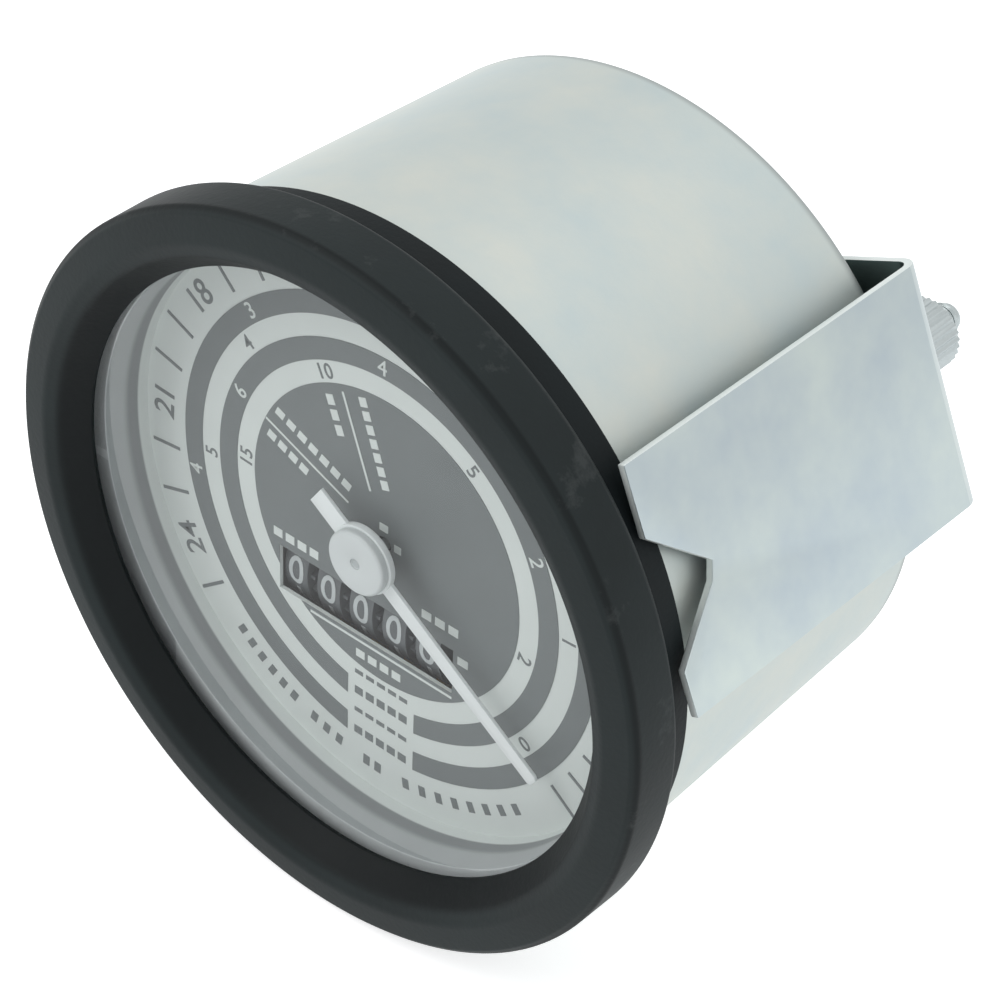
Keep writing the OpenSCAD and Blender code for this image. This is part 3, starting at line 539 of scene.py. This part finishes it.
def grown(tree, sizes):
    """Runs a tree with its named sizes and hands back the result as a plain mesh."""
    holder = bpy.data.objects.new(tree.name, bpy.data.meshes.new(tree.name))
    bpy.context.collection.objects.link(holder)
    modifier = holder.modifiers.new(tree.name, "NODES")
    modifier.node_group = tree
    for item in tree.interface.items_tree:
        if item.in_out == "INPUT":
            modifier[item.identifier] = sizes[item.name]
    bpy.context.view_layer.update()
    mesh = bpy.data.meshes.new_from_object(holder.evaluated_get(
        bpy.context.evaluated_depsgraph_get()))
    holder.modifiers.clear()
    bpy.data.objects.remove(holder)
    return mesh


def gathered(name, meshes, sharp=35):
    """Several meshes as one piece."""
    shape = bmesh.new()
    for mesh in meshes:
        shape.from_mesh(mesh)
        bpy.data.meshes.remove(mesh)
    bmesh.ops.recalc_face_normals(shape, faces=shape.faces)
    return piece_from(name, shape, sharp)


def stamped(tree, given, curve, **count):
    """Sets a flat dash on each point of a curve, along the curve, and ends the tree."""
    points = add(tree, "GeometryNodeCurveToPoints", dict({"Curve": curve}, **count),
                 mode="COUNT" if count else "EVALUATED")
    dash = add(tree, "GeometryNodeMeshCube", {"Size": given["Dash"]})
    along = add(tree, "FunctionNodeAlignRotationToVector", {"Vector": points.outputs["Tangent"]},
                axis="X")
    copies = add(tree, "GeometryNodeInstanceOnPoints",
                 {"Points": points.outputs["Points"], "Instance": dash.outputs["Mesh"],
                  "Rotation": along.outputs[0]})
    finished(tree, copies.outputs[0], given, (math.radians(90), 0, 0))


curved_row, given = sprout("curved_row", [
    ("Dashes", "Int"), ("Radius", "Float"), ("First Angle", "Float"), ("Sweep", "Float"),
    ("Dash", "Vector"), ("Place", "Vector"), ("Finish", "Material")])
arc = add(curved_row, "GeometryNodeCurveArc", {
    "Resolution": given["Dashes"], "Radius": given["Radius"],
    "Start Angle": given["First Angle"], "Sweep Angle": given["Sweep"]}, mode="RADIUS")
stamped(curved_row, given, arc.outputs[0])

straight_row, given = sprout("straight_row", [
    ("Dashes", "Int"), ("From", "Vector"), ("To", "Vector"), ("Dash", "Vector"),
    ("Place", "Vector"), ("Finish", "Material")])
line = add(straight_row, "GeometryNodeCurvePrimitiveLine", {"Start": given["From"],
                                                           "End": given["To"]})
stamped(straight_row, given, line.outputs[0], Count=given["Dashes"])

ink = 0.05


def arc_dashes(count, radius, first, last, length, height, face, material):
    """A row of dashes on an arc, from one angle to another in degrees."""
    return grown(curved_row, {
        "Dashes": count, "Radius": radius * mm, "First Angle": math.radians(first),
        "Sweep": math.radians(last - first), "Dash": (length * mm, height * mm, ink * mm),
        "Place": (0, (face - ink / 2) * mm, 0), "Finish": material})


def row_dashes(count, x1, z1, x2, z2, height, share, face, material):
    """A row from one place to another; share is how much of each step its dash fills."""
    lone_dash = 0.9  # a lone dash still needs a line with a length, to be laid along it
    start, end = Vector((x1, z1, 0)), Vector((x2, z2, 0))
    step = (end - start) / count
    return grown(straight_row, {
        "Dashes": count, "From": tuple((start + step / 2) * mm),
        "To": tuple((end - step / 2 * (lone_dash if count == 1 else 1)) * mm),
        "Dash": (step.length * share * mm, height * mm, ink * mm),
        "Place": (0, (face - ink / 2) * mm, 0), "Finish": material})


dress(gathered("legend_dashes_dark", [
    arc_dashes(count, 39.4, first, last, 1.15, 1.7, dial_face, dial_dark)
    for count, first, last in ((6, 229, 246), (3, 252, 259), (2, 266.5, 269.5), (8, 277, 308))
] + [
    row_dashes(5, -5, z, 5, z, height, 0.72, dial_face, dial_dark)
    for z, height in ((-24.4, 0.7), (-27.7, 1.3), (-31.2, 0.7), (-34.8, 1.3))]),
    dial_dark, "housing")
dress(gathered("legend_dashes_light", [
    row_dashes(count, x1, z1, x2, z2, height, share, dark_face, dial_light)
    for count, x1, z1, x2, z2, height, share in (
        (7, -19.4, 12.0, -5.6, 5.9, 1.3, 0.7), (1, -21.0, 9.6, -6.2, 3.6, 0.35, 1),
        (4, -20.9, 7.6, -13.2, 4.4, 1.3, 0.7), (7, -4.2, 22.0, 0.4, 8.9, 1.3, 0.7),
        (1, -7.4, 20.9, -2.4, 7.6, 0.35, 1), (3, -9.9, 19.6, -7.5, 13.4, 1.3, 0.7),
        (4, -20.0, -8.5, -11.2, -8.5, 1.4, 0.72), (3, 6.6, -7.3, 13.6, -7.3, 1.4, 0.72),
        (1, 13.3, -11.6, 15.1, -11.6, 1.3, 1), (4, -4.8, -20.9, 3.8, -20.9, 1.3, 0.72),
        (1, -12.9, -18.7, 12.5, -18.7, 0.4, 1), (1, -0.7, 2.9, 0.8, 2.9, 1.2, 1),
        (1, 1.9, 0.6, 3.1, 0.6, 1.2, 1))]),
    dial_light, "housing")

# The counter: moulded drums with printed figures, seen through the window. Each drum's figures
# ride on the drum.
drum_dark = finish("drum_dark", (0.085, 0.094, 0.1), rough=0.5, tint=0.1, scale=90, bump=0.02,
                   bump_scale=1500)
drum_ink = finish("drum_figure_white", (0.48, 0.51, 0.515), rough=0.5, tint=0.03, scale=200,
                  bump=0.02, bump_scale=1500)
drum_axis = Vector((0, 14.8 * mm, -14.9 * mm))
drum_radius = 8.7 * mm
first_drum, drum_pitch = 7, 5.93
digit_height, digit_ink, digit_width = 4.5, 0.06, 0.92
longest_edge = 0.6 * mm
for k in range(1, 6):
    dress(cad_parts["number_drum_%d" % k], drum_dark)
    centre_x = first_drum - drum_pitch * (k - 1)
    shape = bmesh.new()
    for digit in range(10):
        flat = numerals("digit", [(str(digit), 0, 0, 0, digit_height)], 0, digit_ink)
        work = bmesh.new()
        work.from_mesh(flat.data)
        bpy.data.objects.remove(flat)
        bmesh.ops.subdivide_edges(
            work, edges=[e for e in work.edges if e.calc_length() > longest_edge], cuts=3)
        for v in work.verts:
            around = v.co.z / drum_radius - math.radians(36 * digit)
            radius = drum_radius - v.co.y
            v.co = (v.co.x * digit_width + centre_x * mm,
                    drum_axis.y - radius * math.cos(around),
                    drum_axis.z + radius * math.sin(around))
        keep = bpy.data.meshes.new("digit")
        work.to_mesh(keep)
        work.free()
        shape.from_mesh(keep)
        bpy.data.meshes.remove(keep)
    dress(piece_from("drum_figures_%d" % k, shape), drum_ink, "drum_%d" % k)

# The pointer: stamped sheet with a broad tail, riveted to its hub under a domed cap. The sheet is
# painted pale grey, and the cap a little darker, worn grey at the rivet's head in its middle.
pointer_paint = finish("pointer_pale", (0.77, 0.80, 0.80), rough=0.4, tint=0.03, scale=60,
                       bump=0.02, bump_scale=1500)
dress(eased("pointer_blade", "pointer", 0.08), pointer_paint, "pointer_arbor", ["pointer"])
hub_paint = second_coat(
    finish("pointer_hub_pale", (0.60, 0.63, 0.632), rough=0.45, tint=0.03, scale=60, bump=0.02,
           bump_scale=1500),
    (0.40, 0.43, 0.435), (1, 0, 1), 0.85, 0.6)
dress(eased("pointer_hub_cap", "pointer_cap", 0.2), hub_paint, "pointer_arbor",
      ["pointer_cap"])

# The U bracket: one folded strap of zinc plated sheet, brighter and bluer than the can. Its
# shear-cut edges are bare and paler, with a painted highlight on them and along the bends; the
# faces turned to the can are darkened with painted shade.
bracket_zinc = finish("bracket_zinc", (0.442, 0.508, 0.545), metallic=1.0, rough=0.46, tint=0.03,
                      scale=58, bump=0.05, bump_scale=800, spread=0.05, other=(0.532, 0.592, 0.568))
strap = eased("mounting_bracket", "mounting_bracket", 0.2)
outward = Vector((math.cos(leg_angle), 0, math.sin(leg_angle)))
across = Vector((-math.sin(leg_angle), 0, math.cos(leg_angle)))
behind_feet, before_web = 30 * mm, 50 * mm
edge_highlight_tone, bend_highlight_tone, leg_inside_shade_tone, web_inside_shade_tone = 1, 0.35, -0.5, -1


def strap_tone(face):
    """The tone of a face, by its place and by the cosines of its normal with the strap's sides."""
    place, facing = face.center.dot(outward), face.normal.dot(outward)
    if abs(face.normal.dot(across)) > 0.7 or (abs(facing) < 0.3 and face.center.y < behind_feet):
        return edge_highlight_tone
    if face.normal.y < -0.5 and face.center.y > before_web:
        return web_inside_shade_tone
    if place * facing < -0.5 * abs(place):
        return leg_inside_shade_tone
    # The bends: a painted highlight, a share of the edges' pale colour.
    if 0.15 < face.normal.y < 0.97:
        return bend_highlight_tone
    return 0


tones = strap.data.attributes.new("tone", "FLOAT", "FACE")
for face in strap.data.polygons:
    tones.data[face.index].value = strap_tone(face)
n, l = bracket_zinc.node_tree.nodes, bracket_zinc.node_tree.links
tone = n.new("ShaderNodeAttribute")
tone.attribute_name = "tone"
inside_shade_share = n.new("ShaderNodeMath")
inside_shade_share.operation = "MULTIPLY"
inside_shade_share.inputs[1].default_value = -1
inside_shade_share.use_clamp = True
# Painted shade: the faces turned to the can are mixed toward a dark colour.
inside = n.new("ShaderNodeMix")
inside.data_type = "RGBA"
inside.inputs["B"].default_value = (0.10, 0.135, 0.13, 1)
# Cut edges: paler bare steel, made brighter as a painted highlight.
cut_edge_highlight = n.new("ShaderNodeMix")
cut_edge_highlight.data_type = "RGBA"
cut_edge_highlight.clamp_factor = True
cut_edge_highlight.inputs["B"].default_value = (0.74, 0.79, 0.77, 1)
edge_mattness = 0.6
matte = n.new("ShaderNodeMath")
matte.operation = "MULTIPLY_ADD"
matte.inputs[1].default_value = -edge_mattness
matte.inputs[2].default_value = 1
matte.use_clamp = True
shader = n["Principled BSDF"]
l.new(tone.outputs["Fac"], matte.inputs[0])
l.new(matte.outputs[0], shader.inputs["Metallic"])
l.new(tone.outputs["Fac"], inside_shade_share.inputs[0])
l.new(inside_shade_share.outputs[0], inside.inputs["Factor"])
l.new(shader.inputs["Base Color"].links[0].from_socket, inside.inputs["A"])
l.new(tone.outputs["Fac"], cut_edge_highlight.inputs["Factor"])
l.new(inside.outputs["Result"], cut_edge_highlight.inputs["A"])
l.new(cut_edge_highlight.outputs["Result"], shader.inputs["Base Color"])
dress(strap, bracket_zinc, "housing", ["mounting_bracket"])

# The two thumb nuts with their lock washers, on studs screwed into the movement's plate through the
# can's rear wall. Turned steel, the nuts knurled, with a rolled thread on each stud's free end.
steel = finish("steel", (0.46, 0.505, 0.51), metallic=1.0, rough=0.42, tint=0.08, scale=120,
               bump=0.03, bump_scale=1500)
for node in ("bracket_nuts", "lock_washers"):
    dress(eased(node, node, 0.12), steel, "housing", [node])

screw_thread, given = sprout("screw_thread", [
    ("Radius", "Float"), ("Ridge", "Float"), ("Pitch", "Float"), ("Length", "Float"),
    ("Place", "Vector"), ("Finish", "Material")])
turns = add(screw_thread, "ShaderNodeMath", {0: given["Length"], 1: given["Pitch"]},
            operation="DIVIDE")
middle = add(screw_thread, "ShaderNodeMath", {0: given["Radius"], 1: given["Ridge"]},
             operation="SUBTRACT")
helix = add(screw_thread, "GeometryNodeCurveSpiral", {
    "Resolution": 40, "Rotations": turns.outputs[0], "Start Radius": middle.outputs[0],
    "End Radius": middle.outputs[0], "Height": given["Length"]})
upright = add(screw_thread, "GeometryNodeSetCurveNormal", {"Curve": helix.outputs[0]},
              mode="Z_UP")
profile = add(screw_thread, "GeometryNodeCurvePrimitiveCircle", {
    "Resolution": 4, "Radius": given["Ridge"]}, mode="RADIUS")
ridge = add(screw_thread, "GeometryNodeCurveToMesh", {
    "Curve": upright.outputs[0], "Profile Curve": profile.outputs[0], "Fill Caps": True})
finished(screw_thread, ridge.outputs[0], given, (math.radians(-90), 0, 0))


def thread(radius, ridge_size, pitch, start, end, x, z, material):
    """The ridge of a screw thread along Y at a place, all in mm."""
    return grown(screw_thread, {
        "Radius": radius * mm, "Ridge": ridge_size * mm, "Pitch": pitch * mm,
        "Length": (end - start) * mm, "Place": (x * mm, start * mm, z * mm), "Finish": material})


cores = []
for x, z in stud_places:
    core = turned("stud_core", filleted(
        [(0, 51.4), (2.4, 51.4), (2.4, 53.9), (4.5, 53.9), (4.5, 55.5), (2.4, 55.5), (2.4, 73.4),
         (2.02, 73.6), (2.02, 79.3), (0, 79.3)],
        [0, 0, 0, 0.2, 0, 0, 0, 0, 0.9, 0]), 64)
    core.data.transform(Matrix.Translation((x * mm, 0, z * mm)))
    cores.append(core.data)
    bpy.data.objects.remove(core)
dress(gathered("bracket_studs", cores), steel, "housing", ["bracket_studs"])
dress(gathered("stud_threads", [thread(2.4, 0.3, 0.8, 73.7, 78.4, x, z, steel)
                                for x, z in stud_places], 60), steel, "housing")

# The stem: a turned bush with a fine thread for the drive cable's nut, held to the can by a thin
# nut. Beside it the lamp's socket is pushed into the can from behind.
stem = turned("drive_stem", filleted(
    [(3.04, 51.7), (6, 51.7), (6, 53.9), (11, 53.9), (11, 55.5), (7.94, 55.5), (7.94, 60),
     (7.34, 60.3), (7.34, 71.4), (6.8, 72), (3.04, 72)],
    [0, 0, 0, 0.2, 0, 0, 0, 0, 0.1, 0.1, 0.3]), 128)
dress(stem, zinc, "housing", ["drive_stem"])
dress(gathered("stem_thread", [thread(7.94, 0.42, 1.0, 61.4, 70.9, 0, 0, zinc)], 60), zinc,
      "housing")
for node in ("stem_nut", "lamp_socket"):
    dress(eased(node, node, 0.15), zinc, "housing", [node])
brass = finish("brass", (0.60, 0.44, 0.17), metallic=1.0, rough=0.3, tint=0.08, scale=90, bump=0.03,
               bump_scale=1500)
dress(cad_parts["lamp_contact"], brass)

# Inside: the drag-cup drive and the counter's train, plain turned, cut and stamped parts of steel,
# brass, aluminium and cast zinc, and the lamp's bulb.
cup_aluminium = finish("cup_aluminium", (0.72, 0.73, 0.74), metallic=1.0, rough=0.32, tint=0.04,
                       stretch=(1, 12, 1))
spring_steel = finish("spring_steel", (0.12, 0.16, 0.26), metallic=1.0, rough=0.25, tint=0.1)
magnet_dark = finish("magnet_dark", (0.08, 0.08, 0.09), rough=0.6, tint=0.2, bump=0.2)
frame_zinc = finish("frame_zinc", (0.45, 0.48, 0.49), rough=0.5, tint=0.06, bump=0.1)
bulb_glass = finish("bulb_glass", (0.8, 0.8, 0.75), rough=0.1)
for material, names in (
        (cup_aluminium, ["drag_cup"]), (spring_steel, ["hairspring"]), (magnet_dark, ["magnet"]),
        (frame_zinc, ["movement_plate"]), (bulb_glass, ["lamp_bulb"]),
        (brass, ["stop_collar", "hairspring_collet", "bridge_bush", "cross_wheel",
                 "counter_drive_wheel", "drum_wheel", "transfer_pinion_1", "transfer_pinion_2",
                 "transfer_pinion_3", "transfer_pinion_4"]),
        (steel, ["pointer_spindle", "frame_pillars", "spindle_bridge", "bridge_pins",
                 "field_ring", "dial_posts", "input_shaft", "cross_shaft", "counter_drive_shaft",
                 "counter_frame", "counter_screws", "drum_shaft", "pinion_shaft"])):
    for name in names:
        dress(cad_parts[name], material)
